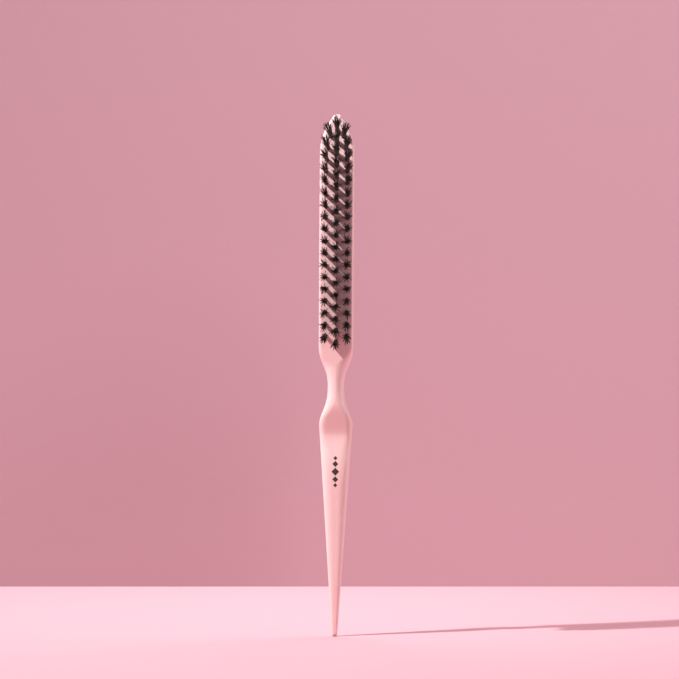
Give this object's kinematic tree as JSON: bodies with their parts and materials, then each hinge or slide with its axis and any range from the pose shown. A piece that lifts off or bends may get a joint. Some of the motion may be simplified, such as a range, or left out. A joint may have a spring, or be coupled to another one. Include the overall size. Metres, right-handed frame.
{
  "type": "teasing brush",
  "caption": "Slim three-row teasing brush: gently arched head with staggered bristle tufts, round neck, thumb hollow and a long pointed tail for parting hair.",
  "frame": {"origin": "on the spine of the handle at the middle of the thumb hollow, where the brush is held", "axes": "+Z along the brush towards the head's nose, the bristles point to -Y, +X to the right seen from the bristle side"},
  "size_m": [0.0148, 0.0262, 0.225],
  "materials": {
    "pink_plastic": "satin moulded plastic, pale pink",
    "bristle": "dark brown bristle, slightly glossy along each hair",
    "anchor_metal": "bare drawn strip",
    "print_ink": "thin matt film of printed ink"
  },
  "bodies": {
    "root": {"handle_body": "pink_plastic", "tuft_left_01": "bristle", "tuft_left_02": "bristle", "tuft_left_03": "bristle", "tuft_left_04": "bristle", "tuft_left_05": "bristle", "tuft_left_06": "bristle", "tuft_left_07": "bristle", "tuft_left_08": "bristle", "tuft_left_09": "bristle", "tuft_left_10": "bristle", "tuft_left_11": "bristle", "tuft_left_12": "bristle", "tuft_left_13": "bristle", "tuft_left_14": "bristle", "tuft_left_15": "bristle", "tuft_left_16": "bristle", "tuft_left_17": "bristle", "tuft_left_18": "bristle", "tuft_middle_01": "bristle", "tuft_middle_02": "bristle", "tuft_middle_03": "bristle", "tuft_middle_04": "bristle", "tuft_middle_05": "bristle", "tuft_middle_06": "bristle", "tuft_middle_07": "bristle", "tuft_middle_08": "bristle", "tuft_middle_09": "bristle", "tuft_middle_10": "bristle", "tuft_middle_11": "bristle", "tuft_middle_12": "bristle", "tuft_middle_13": "bristle", "tuft_middle_14": "bristle", "tuft_middle_15": "bristle", "tuft_middle_16": "bristle", "tuft_middle_17": "bristle", "tuft_middle_18": "bristle", "tuft_middle_19": "bristle", "tuft_right_01": "bristle", "tuft_right_02": "bristle", "tuft_right_03": "bristle", "tuft_right_04": "bristle", "tuft_right_05": "bristle", "tuft_right_06": "bristle", "tuft_right_07": "bristle", "tuft_right_08": "bristle", "tuft_right_09": "bristle", "tuft_right_10": "bristle", "tuft_right_11": "bristle", "tuft_right_12": "bristle", "tuft_right_13": "bristle", "tuft_right_14": "bristle", "tuft_right_15": "bristle", "tuft_right_16": "bristle", "tuft_right_17": "bristle", "tuft_right_18": "bristle"}
  },
  "joints": []
}
